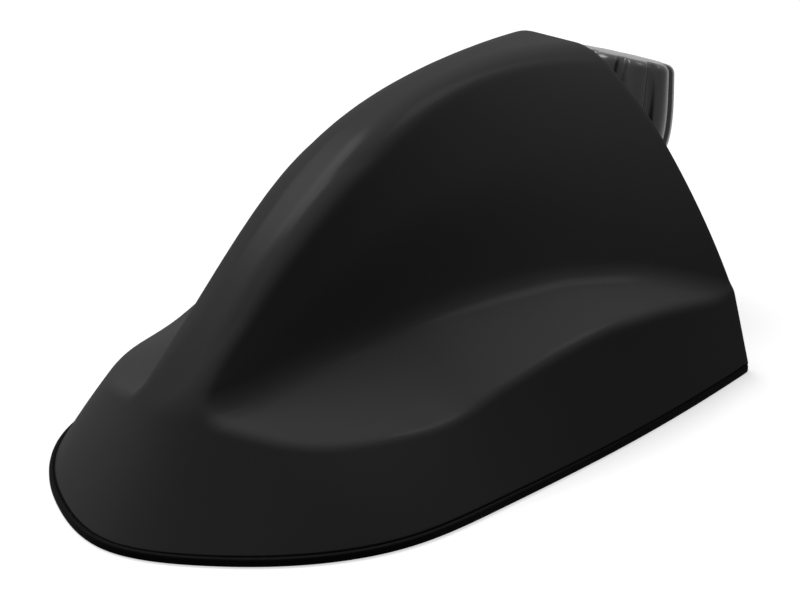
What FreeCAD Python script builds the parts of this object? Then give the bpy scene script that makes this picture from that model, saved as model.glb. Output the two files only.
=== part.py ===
"""Shark fin roof aerial: moulded fin cover over a base plate, with a fluted whip cap behind the fin.

Frame: the origin lies on the roof, on the axis of the mounting stud.  The nose points to -X,
the fluted cap to +X, and +Z is up.  All sizes are in millimetres.
"""
import FreeCAD, Part
import Sketcher
import math
import os
from types import SimpleNamespace

Vec = FreeCAD.Vector
Z_AXIS = Vec(0, 0, 1)
Y_AXIS = Vec(0, 1, 0)

# Driving sizes
SIZES = {
    "base_length": 139.0,
    "base_half_width": 45.9,
    "stud_to_nose": 70.0,
    "fin_height": 65.2,
    "shoulder_height": 74.0,
    "shoulder_half_width": 28.4,
    "nose_setback": 48.6,
    "tail_setback": 5.0,
    "deck_reach": 48.6,
    "nose_blend_radius": 20.0,
    "crease_radius": 8.0,
    "edge_radius": 4.0,
    "tail_edge_radius": 1.0,
    "cover_wall": 2.6,
    "fit_gap": 0.3,
    "gasket_thickness": 1.6,
    "gasket_inset": 0.8,
    "plate_thickness": 3.0,
    "seal_width": 2.0,
    "seal_height": 1.6,
    "stud_radius": 9.0,
    "stud_bore_radius": 6.2,
    "stud_flange_radius": 13.5,
    "stud_flange_thickness": 2.6,
    "stud_reach": 24.0,
    "stud_lead_radius": 8.4,
    "stud_lead_length": 9.0,
    "stud_ring_section": 1.5,
    "roof_grip": 2.4,
    "washer_radius": 17.0,
    "washer_thickness": 1.2,
    "claw_height": 1.0,
    "claw_radius": 1.2,
    "claw_circle": 14.6,
    "nut_across_flats": 27.0,
    "nut_thickness": 7.0,
    "thread_chamfer": 1.0,
    "post_radius": 3.4,
    "screw_radius": 1.5,
    "screw_head_radius": 2.9,
    "screw_head_height": 1.5,
    "screw_bite": 7.0,
    "post_front_offset": 50.0,
    "post_middle_offset": 8.0,
    "post_middle_side": 33.0,
    "post_rear_offset": 50.0,
    "post_rear_side": 31.0,
    "board_thickness": 1.6,
    "board_front": 46.0,
    "board_rear": 44.0,
    "board_half_width": 22.0,
    "standoff_height": 4.4,
    "standoff_radius": 2.8,
    "standoff_front": 42.0,
    "standoff_rear": 40.0,
    "standoff_side": 18.5,
    "board_screw_radius": 1.0,
    "board_screw_head": 2.0,
    "board_screw_head_height": 1.3,
    "board_screw_bite": 3.4,
    "cable_slot_length": 26.0,
    "cable_slot_width": 14.0,
    "patch_side": 25.0,
    "patch_thickness": 4.0,
    "patch_front_offset": 27.0,
    "lna_side": 28.0,
    "lna_thickness": 0.8,
    "can_length": 20.0,
    "can_width": 12.0,
    "can_height": 3.2,
    "can_front": 15.0,
    "can_side": 12.5,
    "fin_board_front": 15.0,
    "fin_board_rear": 40.0,
    "fin_board_thickness": 1.0,
    "fin_board_air": 1.2,
    "element_thickness": 0.4,
    "element_margin": 4.0,
    "element_slot": 1.6,
    "element_pitch": 10.0,
    "wifi_length": 12.0,
    "wifi_width": 5.0,
    "wifi_height": 9.0,
    "wifi_side": 17.0,
    "wifi_front": 6.0,
    "wifi_thickness": 0.5,
    "socket_radius": 1.9,
    "socket_height": 3.4,
    "socket_base": 4.4,
    "socket_pitch": 7.0,
    "socket_base_height": 1.2,
    "socket_pin_radius": 0.6,
    "socket_offset": 10.4,
    "vent_radius": 4.0,
    "vent_thickness": 0.4,
    "vent_hole_radius": 2.0,
    "vent_offset": 26.0,
    "vent_side": 30.0,
    "whip_seat_x": 78.3,
    "whip_seat_height": 34.0,
    "whip_rake": 20.0,
    "boss_radius": 8.2,
    "boss_depth": 9.0,
    "saddle_radius": 14.5,
    "whip_stud_radius": 3.0,
    "whip_stud_reach": 9.0,
    "whip_stud_collar": 4.6,
    "whip_collar_thickness": 2.0,
    "thread_clearance": 0.05,
    "cap_top_radius": 10.6,
    "cap_skirt_radius": 12.0,
    "cap_height": 17.6,
    "cap_gap": 0.5,
    "cap_edge": 1.0,
    "cap_rim": 1.6,
    "flute_radius": 2.5,
    "flute_depth": 1.5,
    "insert_radius": 4.6,
    "insert_length": 9.0,
    "cap_seal_inside": 5.8,
    "cap_seal_section": 1.6,
    "contact_width": 3.0,
    "contact_thickness": 0.5,
    "contact_foot": 5.5,
}
FLUTES = 12
CLAWS = 8
SOCKETS = 3
SLOTS = 3

# Plan curves: shares of the base length from the nose, and of the half width
BASE_PLAN = [(0.049, 0.392), (0.126, 0.671), (0.233, 0.874), (0.408, 0.962), (0.680, 1.0), (1.0, 0.965)]
SHOULDER_PLAN = [0.200, 0.330, 0.470, 0.700, 0.930, 1.0]
# Side curves: shares of the base length from the nose, and of the fin height
RIDGE = [(-0.097, -0.082), (0.049, 0.238), (0.194, 0.543), (0.340, 0.783), (0.485, 0.924),
         (0.728, 1.0), (1.068, 0.876)]
DECK_STATIONS = [-0.097, 0.146, 0.291, 0.456, 0.612, 0.777, 1.068]
DECK_MIDDLE = [0.330, 0.372, 0.450, 0.530, 0.569, 0.592, 0.549]
DECK_OUTER = [0.040, 0.075, 0.125, 0.205, 0.262, 0.277, 0.155]
# Fin flank arcs at the nose and at the tail: shares of the half width and of the fin height
FLANK_NOSE = [(0.132, 0.269), (-0.044, 0.580), (-0.059, 0.911)]
FLANK_TAIL = [(0.874, 0.280), (0.6435, 0.590), (0.247, 0.926)]


class Size:
    """A number that also carries its spreadsheet expression, so that both stay the same sum."""

    def __init__(self, value, text):
        self.value = float(value)
        self.text = text

    @staticmethod
    def parts(other):
        if isinstance(other, Size):
            return other.value, other.text
        return float(other), repr(float(other))

    def joined(self, other, sign, value, swap=False):
        text = self.parts(other)[1]
        first, second = (text, self.text) if swap else (self.text, text)
        return Size(value, "(" + first + " " + sign + " " + second + ")")

    def __add__(self, other):
        return self.joined(other, "+", self.value + self.parts(other)[0])

    def __radd__(self, other):
        return self.joined(other, "+", self.parts(other)[0] + self.value, True)

    def __sub__(self, other):
        return self.joined(other, "-", self.value - self.parts(other)[0])

    def __rsub__(self, other):
        return self.joined(other, "-", self.parts(other)[0] - self.value, True)

    def __mul__(self, other):
        return self.joined(other, "*", self.value * self.parts(other)[0])

    __rmul__ = __mul__

    def __truediv__(self, other):
        return self.joined(other, "/", self.value / self.parts(other)[0])

    def __neg__(self):
        return Size(-self.value, "(0 - " + self.text + ")")

    def __float__(self):
        return self.value


doc = FreeCAD.newDocument("shark_fin_aerial")
sheet = doc.addObject("Spreadsheet::Sheet", "Sizes")
for row, (alias, number) in enumerate(SIZES.items(), start=1):
    sheet.set("A%d" % row, alias)
    sheet.set("B%d" % row, str(number))
    sheet.setAlias("B%d" % row, alias)
doc.recompute()
s = SimpleNamespace(**{alias: Size(number, "Sizes." + alias) for alias, number in SIZES.items()})
nodes = []


def keep(obj, label):
    """Give a finished piece its name and put it on the list of nodes."""
    obj.Label = label
    nodes.append(obj)
    return obj


def bind(obj, **sizes):
    """Bind the object's properties to the sheet."""
    for name, size in sizes.items():
        if isinstance(size, Size):
            obj.setExpression(name, size.text)
        else:
            setattr(obj, name, size)
    return obj


def place(obj, x=0.0, y=0.0, z=0.0):
    """Put an object at a bound position."""
    for axis, size in (("x", x), ("y", y), ("z", z)):
        if isinstance(size, Size):
            obj.setExpression(".Placement.Base." + axis, size.text)
        else:
            setattr(obj.Placement.Base, axis, float(size))
    return obj


def box(name, length, width, height, x, y, z):
    """A block that stands on z, centred on x and y."""
    block = bind(doc.addObject("Part::Box", name), Length=length, Width=width, Height=height)
    return place(block, x - length / 2, y - width / 2, z)


def rod(name, radius, height, x=0.0, y=0.0, z=0.0):
    """An upright cylinder that stands on z."""
    cylinder = bind(doc.addObject("Part::Cylinder", name), Radius=radius, Height=height)
    return place(cylinder, x, y, z)


def fuse(name, shapes):
    joined = doc.addObject("Part::MultiFuse", name)
    joined.Shapes = shapes
    return joined


def cut(name, base, tool):
    taken = doc.addObject("Part::Cut", name)
    taken.Base = base
    taken.Tool = tool
    return taken


def common(name, base, tool):
    shared = doc.addObject("Part::Common", name)
    shared.Base = base
    shared.Tool = tool
    return shared


def group(name, shapes):
    """Like pieces that share one node as separate solids."""
    bundle = doc.addObject("Part::Compound", name)
    bundle.Links = shapes
    return bundle


def shaped(name, shape):
    """A free-form piece whose shape is worked out from the sheet's sizes."""
    feature = doc.addObject("Part::Feature", name)
    feature.Shape = shape
    return feature


def origin_plane(body, role):
    return [item for item in body.Origin.OriginFeatures if item.Role == role][0]


def new_sketch(body, name, role):
    sketch = body.newObject("Sketcher::SketchObject", name)
    sketch.AttachmentSupport = [(origin_plane(body, role), "")]
    sketch.MapMode = "FlatFace"
    return sketch


def draw_circle(sketch, radius, x=None, y=None):
    """A circle with a bound radius, about the sketch's origin or a bound centre."""
    centre = Vec(float(x or 0.0), float(y or 0.0), 0)
    ring = sketch.addGeometry(Part.Circle(centre, Z_AXIS, float(radius)))
    bound = [("Radius", sketch.addConstraint(Sketcher.Constraint("Radius", ring, float(radius))), radius)]
    if x is None and y is None:
        sketch.addConstraint(Sketcher.Constraint("Coincident", ring, 3, -1, 1))
    else:
        bound.append(("X", sketch.addConstraint(
            Sketcher.Constraint("DistanceX", -1, 1, ring, 3, centre.x)), x))
        bound.append(("Y", sketch.addConstraint(
            Sketcher.Constraint("DistanceY", -1, 1, ring, 3, centre.y)), y))
    for kind, index, size in bound:
        if isinstance(size, Size):
            sketch.setExpression("Constraints[%d]" % index, size.text)


def draw_polygon(sketch, corners):
    """A closed outline of straight lines whose corners have bound coordinates."""
    points = [Vec(float(x), float(y), 0) for x, y in corners]
    count = len(points)
    first = None
    for index in range(count):
        line = sketch.addGeometry(Part.LineSegment(points[index], points[(index + 1) % count]))
        first = line if first is None else first
    for index in range(count):
        following = first + (index + 1) % count
        sketch.addConstraint(Sketcher.Constraint("Coincident", first + index, 2, following, 1))
    for index, (x, y) in enumerate(corners):
        for kind, size, number in (("DistanceX", x, points[index].x), ("DistanceY", y, points[index].y)):
            if abs(number) < 1e-9 and not isinstance(size, Size):
                held = "PointOnObject"
                axis = -2 if kind == "DistanceX" else -1
                sketch.addConstraint(Sketcher.Constraint(held, first + index, 1, axis))
                continue
            place_of = sketch.addConstraint(Sketcher.Constraint(kind, -1, 1, first + index, 1, number))
            if isinstance(size, Size):
                sketch.setExpression("Constraints[%d]" % place_of, size.text)


def pad(body, name, sketch, length, reverse=False):
    feature = body.newObject("PartDesign::Pad", name)
    feature.Profile = sketch
    feature.Reversed = reverse
    bind(feature, Length=length)
    doc.recompute()
    return feature


def pocket(body, name, sketch, length, reverse=False):
    feature = body.newObject("PartDesign::Pocket", name)
    feature.Profile = sketch
    feature.Reversed = reverse
    bind(feature, Length=length)
    doc.recompute()
    return feature


def revolve(body, name, sketch):
    """Turn a half section, drawn in the XZ plane, about the vertical axis."""
    feature = body.newObject("PartDesign::Revolution", name)
    feature.Profile = sketch
    feature.ReferenceAxis = (sketch, ["V_Axis"])
    feature.Angle = 360.0
    doc.recompute()
    return feature


# Heights of the stack, from the roof upwards
plate_bottom = s.gasket_thickness
plate_top = s.gasket_thickness + s.plate_thickness
board_bottom = plate_top + s.standoff_height
board_top = board_bottom + s.board_thickness
tail_x = s.base_length - s.stud_to_nose

# Screw places on the base plate
cover_screw_places = [
    (-s.post_front_offset, 0.0),
    (-s.post_middle_offset, s.post_middle_side),
    (-s.post_middle_offset, -s.post_middle_side),
    (s.post_rear_offset, s.post_rear_side),
    (s.post_rear_offset, -s.post_rear_side),
]
board_screw_places = [
    (-s.standoff_front, s.standoff_side),
    (-s.standoff_front, -s.standoff_side),
    (s.standoff_rear, s.standoff_side),
    (s.standoff_rear, -s.standoff_side),
]


# The free-form cover

def point(share, half_width, height):
    """A point at a share of the base length from the nose."""
    return Vec(float(s.base_length) * share - float(s.stud_to_nose), half_width, height)


def smooth(points):
    curve = Part.BSplineCurve()
    curve.interpolate(points)
    return curve.toShape()


def lines(points):
    return Part.makePolygon(points).Edges


def plan_outline(height, inset):
    """The bullet outline of the base, drawn in by inset, with a straight tail."""
    length = float(s.base_length) - 2 * inset
    nose = inset - float(s.stud_to_nose)
    side = [(nose + length * share, (float(s.base_half_width) - inset) * width)
            for share, width in BASE_PLAN]
    return closed_outline(nose, side, height)


def shoulder_outline(inset):
    """The narrower outline that the walls would reach at the datum height, above the fin."""
    setback = float(s.nose_setback) + inset
    length = float(s.base_length) - float(s.tail_setback) - inset - setback
    nose = setback - float(s.stud_to_nose)
    side = [(nose + length * share, (float(s.shoulder_half_width) - inset) * width)
            for (share, base_width), width in zip(BASE_PLAN, SHOULDER_PLAN)]
    return closed_outline(nose, side, float(s.shoulder_height))


def closed_outline(nose, side, height):
    points = [Vec(x, -y, height) for x, y in reversed(side)]
    points += [Vec(nose, 0, height)]
    points += [Vec(x, y, height) for x, y in side]
    return Part.Wire([smooth(points), Part.LineSegment(points[-1], points[0]).toShape()])


def hull(inset):
    """The drafted bullet under the ridge line, before the two scoops are taken out of it."""
    walls = Part.makeLoft([plan_outline(0.0, inset), shoulder_outline(inset)], True, True)
    reach = 1.4 * float(s.base_half_width)
    ridge = [point(share, -reach, height * float(s.fin_height) - inset) for share, height in RIDGE]
    floor = [Vec(ridge[-1].x, -reach, -reach), Vec(ridge[0].x, -reach, -reach)]
    profile = Part.Wire([smooth(ridge)] + lines([ridge[-1]] + floor + [ridge[0]]))
    return walls.common(Part.Face(profile).extrude(Vec(0, 2 * reach, 0)))


def flank_section(share, inset):
    """The region outside the fin flank at one station: the flank is an arc that leans outwards."""
    height = float(s.fin_height)
    width = float(s.base_half_width)
    low, middle, high = [
        Vec(0, (a[0] + (b[0] - a[0]) * share) * width - inset, (a[1] + (b[1] - a[1]) * share) * height)
        for a, b in zip(FLANK_NOSE, FLANK_TAIL)]
    circle = Part.Arc(low, middle, high).toShape().Curve
    spread = 0.35 * (high - low).Length / circle.Radius
    angles = [math.atan2(p.z - circle.Center.z, p.y - circle.Center.y) for p in (low, middle, high)]
    angles = [a - 2 * math.pi * round((a - angles[1]) / (2 * math.pi)) for a in angles]
    turn = 1.0 if angles[2] > angles[0] else -1.0
    angles = [angles[0] - turn * spread, angles[1], angles[2] + turn * spread]
    x = point(share, 0, 0).x
    a, b, c = [Vec(x, circle.Center.y + circle.Radius * math.cos(t),
                   circle.Center.z + circle.Radius * math.sin(t)) for t in angles]
    side = 2 * width
    return Part.Wire([Part.Arc(a, b, c).toShape()] + lines([c, Vec(x, side, c.z), Vec(x, side, a.z), a]))


def deck_section(side, inset):
    """The region above the deck along one lengthwise section."""
    height = float(s.fin_height)
    share = side / float(s.deck_reach)
    line = [point(station, side, (middle + (outer - middle) * share) * height - inset)
            for station, middle, outer in zip(DECK_STATIONS, DECK_MIDDLE, DECK_OUTER)]
    roof = 1.5 * height
    return Part.Wire([smooth(line)] + lines(
        [line[-1], Vec(line[-1].x, side, roof), Vec(line[0].x, side, roof), line[0]]))


def scoop(inset, crease_radius):
    """What is taken out beside the fin: outside the flank and above the deck, with a round or sharp crease."""
    width = float(s.base_half_width)
    beside = Part.makeLoft([flank_section(-0.09, inset), flank_section(1.06, inset)], True, True)
    above = Part.makeLoft([deck_section(-0.3 * width, inset), deck_section(1.8 * width, inset)], True, True)
    tool = beside.common(above)
    if crease_radius <= 0:
        return [tool, tool.mirror(Vec(0, 0, 0), Y_AXIS)]
    creases = [edge for edge in sharp_edges(tool, 15)
               if edge.BoundBox.XLength > 0.7 * float(s.base_length) and edge.BoundBox.YMax < 1.2 * width
               and edge.BoundBox.ZMax < 0.7 * float(s.fin_height)]
    tool = tool.makeFillet(crease_radius, creases)
    return [tool, tool.mirror(Vec(0, 0, 0), Y_AXIS)]


def sharp_edges(shape, least_angle):
    """The edges where two faces meet at more than an angle, in degrees."""
    found = []
    for edge in shape.Edges:
        faces = shape.ancestorsOfType(edge, Part.Face)
        if len(faces) < 2:
            continue
        middle = edge.valueAt((edge.FirstParameter + edge.LastParameter) / 2)
        normals = [face.normalAt(*face.Surface.parameter(middle)) for face in faces[:2]]
        if math.degrees(normals[0].getAngle(normals[1])) > least_angle:
            found.append(edge)
    return found


def whip_point(along, across=0.0):
    """A point on the raked whip axis, measured from the boss's seat."""
    rake = math.radians(float(s.whip_rake))
    return Vec(float(s.whip_seat_x) + along * math.sin(rake) + across * math.cos(rake), 0,
               float(s.whip_seat_height) + along * math.cos(rake) - across * math.sin(rake))


def whip_direction():
    rake = math.radians(float(s.whip_rake))
    return Vec(math.sin(rake), 0, math.cos(rake))


def saddle(inset, top):
    """The raked pedestal behind the fin: a round cone that widens from the whip's seat to the roof."""
    seat_radius = float(s.boss_radius) - inset
    foot_radius = float(s.saddle_radius) - inset
    length = float(s.whip_seat_height) / math.cos(math.radians(float(s.whip_rake)))
    widening = (foot_radius - seat_radius) / (length + top)
    below = foot_radius * math.tan(math.radians(float(s.whip_rake))) * 1.5
    return Part.makeCone(foot_radius + widening * below, seat_radius, length + top + below,
                         whip_point(-length - below), whip_direction())


def tail_only(bounds):
    """True for an edge that lies in the raked tail face."""
    return bounds.XMin > float(tail_x) - float(s.tail_setback) - 2.0 and bounds.XLength < float(s.tail_setback)


def cover_skin():
    """The outside of the cover: hull, scoops, rounded ridge, rims and tail, and the whip saddle."""
    body = hull(0.0)
    crown = [edge for edge in sharp_edges(body, 5)
             if edge.BoundBox.XLength > 0.6 * float(s.base_length) and edge.BoundBox.ZMax > 1.0]
    body = body.makeFillet(float(s.nose_blend_radius), crown)
    body = body.cut(scoop(0.0, float(s.crease_radius)))
    edges = [edge for edge in sharp_edges(body, 15)
             if edge.BoundBox.ZMax > 1.0 and not tail_only(edge.BoundBox)]
    body = body.makeFillet(float(s.edge_radius), edges)
    return body


def inside():
    """The space inside the cover: the same surfaces drawn in by the wall, and the saddle's own hollow."""
    wall = float(s.cover_wall)
    space = hull(wall).cut(scoop(wall, 0.0))
    return space.fuse(saddle(wall, -float(s.boss_depth)))


def screw_post(x, y):
    """A round post that hangs from the cover's roof down to the base plate."""
    height = 2 * float(s.fin_height)
    return Part.makeCylinder(float(s.post_radius), height, Vec(float(x), float(y), float(plate_top)))


def between(shape, z, height):
    """The slice of a shape between two heights."""
    span = 4 * float(s.base_length)
    return shape.common(Part.makeBox(span, span, float(height), Vec(-span / 2, -span / 2, float(z))))


def cover_shape():
    skin = cover_skin().fuse(saddle(0.0, 0.0))
    shell = skin.cut(inside())
    posts = [screw_post(x, y).common(skin) for x, y in cover_screw_places]
    shell = shell.fuse(posts)
    shell = between(shell, s.gasket_thickness, 2 * s.fin_height)
    depth = float(s.screw_bite) + 1.0
    for x, y in cover_screw_places:
        pilot = Part.makeCylinder(float(s.screw_radius), depth, Vec(float(x), float(y), float(plate_top)))
        shell = shell.cut(pilot)
    bore = Part.makeCylinder(float(s.whip_stud_radius), 2 * float(s.boss_depth),
                             whip_point(-1.5 * float(s.boss_depth)), whip_direction())
    return shell.cut(bore).removeSplitter()


keep(shaped("Cover", cover_shape()), "cover")


# Base plate, gaskets and vent

def slab(inset, z, height):
    """A slice of the drafted hull and its pedestal between two heights."""
    space = hull(float(inset)).fuse(saddle(float(inset), -float(s.boss_depth)))
    return between(space, z, height).removeSplitter()


plate_inset = s.cover_wall + s.fit_gap
stud_hole_radius = s.stud_radius + s.fit_gap
screw_hole_radius = s.screw_radius + s.fit_gap
seal_bottom = plate_top - s.seal_height
ring_pocket_radius = s.stud_radius + s.fit_gap + s.stud_ring_section
vent_place = (s.vent_offset, -s.vent_side)

rebate = slab(plate_inset, seal_bottom, s.seal_height).cut(
    slab(plate_inset + s.seal_width, seal_bottom, s.seal_height))
cover_seal = keep(shaped("Cover_seal", rebate), "cover_seal")

gasket_sheet = Part.Face(plan_outline(0.0, float(s.gasket_inset))).extrude(Vec(0, 0, float(s.gasket_thickness)))
gasket_tab = between(saddle(float(s.gasket_inset), 0.0), 0.0, s.gasket_thickness)
gasket_blank = shaped("Gasket_blank", gasket_sheet.fuse(gasket_tab).removeSplitter())
gasket_holes = fuse("Gasket_holes", [
    rod("Gasket_stud_hole", stud_hole_radius, s.gasket_thickness),
    rod("Gasket_vent_hole", s.vent_hole_radius, s.gasket_thickness, vent_place[0], vent_place[1])])
keep(cut("Base_gasket", gasket_blank, gasket_holes), "base_gasket")

plate_blank = cut("Plate_blank", shaped("Plate_slab", slab(plate_inset, plate_bottom, s.plate_thickness)),
                  cover_seal)
standoffs = [rod("Standoff%d" % index, s.standoff_radius, s.standoff_height, x, y, plate_top)
             for index, (x, y) in enumerate(board_screw_places)]
plate_holes = [
    rod("Plate_stud_hole", stud_hole_radius, s.plate_thickness, 0.0, 0.0, plate_bottom),
    rod("Plate_ring_pocket", ring_pocket_radius, s.stud_ring_section, 0.0, 0.0, plate_top - s.stud_ring_section),
    rod("Plate_vent_hole", s.vent_hole_radius, s.plate_thickness, vent_place[0], vent_place[1], plate_bottom)]
for index, (x, y) in enumerate(cover_screw_places):
    plate_holes.append(rod("Plate_screw_hole%d" % index, screw_hole_radius, s.plate_thickness, x, y, plate_bottom))
    plate_holes.append(rod("Plate_head_pocket%d" % index, s.screw_head_radius + s.fit_gap,
                           s.screw_head_height, x, y, plate_bottom))
for index, (x, y) in enumerate(board_screw_places):
    plate_holes.append(rod("Standoff_pilot%d" % index, s.board_screw_radius, s.board_screw_bite,
                           x, y, board_bottom - s.board_screw_bite))
keep(cut("Base_plate", fuse("Plate_raised", [plate_blank] + standoffs), fuse("Plate_holes", plate_holes)),
     "base_plate")
keep(rod("Vent_disc", s.vent_radius, s.vent_thickness, vent_place[0], vent_place[1], plate_top), "vent_disc")


# Roof fixing: hollow threaded stud, its ring, toothed washer and nut

def turned(name, corners):
    """A turned piece from its half section, as corners of radius and height."""
    body = doc.addObject("PartDesign::Body", name)
    sketch = new_sketch(body, name + "_section", "XZ_Plane")
    draw_polygon(sketch, corners)
    revolve(body, name + "_turn", sketch)
    return body


stud_top = plate_top + s.stud_flange_thickness
keep(turned("Mounting_stud", [
    (s.stud_bore_radius, -s.stud_reach),
    (s.stud_lead_radius - s.thread_chamfer, -s.stud_reach),
    (s.stud_lead_radius, s.thread_chamfer - s.stud_reach),
    (s.stud_lead_radius, s.stud_lead_length - s.stud_reach),
    (s.stud_radius, s.stud_lead_length - s.stud_reach),
    (s.stud_radius, plate_top),
    (s.stud_flange_radius, plate_top),
    (s.stud_flange_radius, stud_top),
    (s.stud_bore_radius, stud_top)]), "mounting_stud")
ring_bottom = plate_top - s.stud_ring_section
keep(turned("Stud_seal", [
    (s.stud_radius, ring_bottom),
    (s.stud_radius + s.stud_ring_section, ring_bottom),
    (s.stud_radius + s.stud_ring_section, plate_top),
    (s.stud_radius, plate_top)]), "stud_seal")

claw_bottom = -s.roof_grip - s.claw_height
washer_bottom = claw_bottom - s.washer_thickness
claws = []
for index in range(CLAWS):
    angle = 2 * math.pi * (index + 0.5) / CLAWS
    claw = bind(doc.addObject("Part::Wedge", "Claw%d" % index), Xmin=-s.claw_radius, Xmax=s.claw_radius,
                Ymin=0.0, Ymax=s.claw_height, Zmin=-s.claw_radius, Zmax=s.claw_radius,
                X2min=0.0, X2max=s.claw_radius, Z2min=-s.claw_radius, Z2max=s.claw_radius)
    claw.Placement.Rotation = FreeCAD.Rotation(Z_AXIS, math.degrees(angle)) * FreeCAD.Rotation(Vec(1, 0, 0), 90)
    claws.append(place(claw, s.claw_circle * math.cos(angle), s.claw_circle * math.sin(angle), claw_bottom))
washer_ring = cut("Washer_ring", rod("Washer_disc", s.washer_radius, s.washer_thickness, 0.0, 0.0, washer_bottom),
                  rod("Washer_hole", stud_hole_radius, s.washer_thickness, 0.0, 0.0, washer_bottom))
keep(fuse("Toothed_washer", [washer_ring] + claws), "toothed_washer")

nut_bottom = washer_bottom - s.nut_thickness
nut_corner = s.nut_across_flats / math.sqrt(3.0)
hexagon = doc.addObject("PartDesign::Body", "Nut_hexagon")
outline = new_sketch(hexagon, "Nut_outline", "XY_Plane")
draw_polygon(outline, [(nut_corner * math.cos(math.radians(60 * k + 10)), nut_corner * math.sin(math.radians(60 * k + 10)))
                       for k in range(6)])
pad(hexagon, "Nut_pad", outline, s.nut_thickness)
place(hexagon, 0.0, 0.0, nut_bottom)
nut_edge = (nut_corner - s.nut_across_flats / 2) / 2
nut_turning = turned("Nut_turning", [
    (s.stud_radius + s.thread_clearance, nut_bottom),
    (s.nut_across_flats / 2, nut_bottom),
    (nut_corner, nut_bottom + nut_edge),
    (nut_corner, washer_bottom),
    (s.stud_radius + s.thread_clearance, washer_bottom)])
keep(common("Mounting_nut", hexagon, nut_turning), "mounting_nut")


# Circuit boards and what stands on them

board_length = s.board_front + s.board_rear
board_blank = box("Board_blank", board_length, 2 * s.board_half_width, s.board_thickness,
                  (s.board_rear - s.board_front) / 2, 0.0, board_bottom)
slot = box("Cable_slot", s.cable_slot_length, s.cable_slot_width, s.board_thickness, 0.0, 0.0, board_bottom)
board_holes = [rod("Board_hole%d" % index, s.board_screw_radius + s.fit_gap, s.board_thickness, x, y, board_bottom)
               for index, (x, y) in enumerate(board_screw_places)]
keep(cut("Main_board", board_blank, fuse("Board_openings", [slot] + board_holes)), "main_board")

lna_top = board_top + s.lna_thickness
keep(box("Lna_board", s.lna_side, s.lna_side, s.lna_thickness, -s.patch_front_offset, 0.0, board_top), "lna_board")
keep(box("Gnss_patch", s.patch_side, s.patch_side, s.patch_thickness, -s.patch_front_offset, 0.0, lna_top),
     "gnss_patch")
keep(box("Shield_can", s.can_length, s.can_width, s.can_height, s.can_front + s.can_length / 2, s.can_side,
         board_top), "shield_can")

sockets = []
for index in range(SOCKETS):
    x = s.socket_pitch * (index - (SOCKETS - 1) / 2)
    body = fuse("Socket%d" % index, [
        box("Socket_base%d" % index, s.socket_base, s.socket_base, s.socket_base_height, x, -s.socket_offset,
            board_top),
        rod("Socket_barrel%d" % index, s.socket_radius, s.socket_height, x, -s.socket_offset, board_top)])
    hole = rod("Socket_hole%d" % index, s.socket_pin_radius, s.socket_height, x, -s.socket_offset,
               board_top + s.socket_base_height)
    sockets.append(cut("Coax_socket%d" % index, body, hole))
keep(group("Coax_sockets", sockets), "coax_sockets")


def bent_strip(name, side):
    """A folded metal element: a foot on the board and an upright leaf at its outer edge."""
    foot = box(name + "_foot", s.wifi_length, s.wifi_width, s.wifi_thickness, s.wifi_front - s.wifi_length / 2,
               side * s.wifi_side, board_top)
    leaf = box(name + "_leaf", s.wifi_length, s.wifi_thickness, s.wifi_height, s.wifi_front - s.wifi_length / 2,
               side * (s.wifi_side + (s.wifi_width - s.wifi_thickness) / 2), board_top)
    return fuse(name, [foot, leaf])


keep(bent_strip("Wifi_element_left", 1.0), "wifi_element_left")
keep(bent_strip("Wifi_element_right", -1.0), "wifi_element_right")

# The upright board follows the ridge inside the fin; its printed element is drawn in from its edges
fin_length = s.fin_board_rear - s.fin_board_front
fin_middle = (s.fin_board_rear + s.fin_board_front) / 2
fin_room = s.fin_height - board_top
fin_inset = s.cover_wall + s.fin_board_air
fin_board_blank = box("Fin_board_blank", fin_length, s.fin_board_thickness, fin_room, fin_middle, 0.0, board_top)
keep(common("Fin_board", fin_board_blank, shaped("Fin_space", hull(float(fin_inset)))), "fin_board")

element_y = (s.fin_board_thickness + s.element_thickness) / 2
element_length = fin_length - 2 * s.element_margin
element_bottom = board_top + s.element_margin
element_blank = common("Element_blank",
                       box("Element_sheet", element_length, s.element_thickness, fin_room - s.element_margin,
                           fin_middle, element_y, element_bottom),
                       shaped("Element_space", hull(float(fin_inset + s.element_margin))))
element_slots = [box("Element_slot%d" % index, element_length - s.element_margin, s.element_thickness,
                     s.element_slot, fin_middle + (index % 2 - 0.5) * s.element_margin, element_y,
                     element_bottom + (index + 1) * s.element_pitch)
                 for index in range(SLOTS)]
keep(cut("Fin_element", element_blank, fuse("Element_slots", element_slots)), "fin_element")


# Screws

def screw(name, x, y, head_z, head_height, head_radius, shank_z, shank_height, shank_radius):
    return fuse(name, [rod(name + "_head", head_radius, head_height, x, y, head_z),
                       rod(name + "_shank", shank_radius, shank_height, x, y, shank_z)])


keep(group("Cover_screws", [
    screw("Cover_screw%d" % index, x, y, plate_bottom, s.screw_head_height, s.screw_head_radius,
          plate_bottom, s.plate_thickness + s.screw_bite, s.screw_radius)
    for index, (x, y) in enumerate(cover_screw_places)]), "cover_screws")
board_screw_length = s.board_thickness + s.board_screw_bite
keep(group("Board_screws", [
    screw("Board_screw%d" % index, x, y, board_top, s.board_screw_head_height, s.board_screw_head,
          board_top - board_screw_length, board_screw_length, s.board_screw_radius)
    for index, (x, y) in enumerate(board_screw_places)]), "board_screws")


# Whip fixing and its fluted cap, drawn upright about the whip axis and then raked into place

def raked(obj):
    """Stand a piece on the boss's seat, leaning back by the whip's rake."""
    obj.Placement = FreeCAD.Placement(Vec(float(s.whip_seat_x), 0, float(s.whip_seat_height)),
                                      FreeCAD.Rotation(Y_AXIS, float(s.whip_rake)))
    obj.setExpression(".Placement.Rotation.Angle", s.whip_rake.text)
    return place(obj, s.whip_seat_x, 0.0, s.whip_seat_height)


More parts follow.
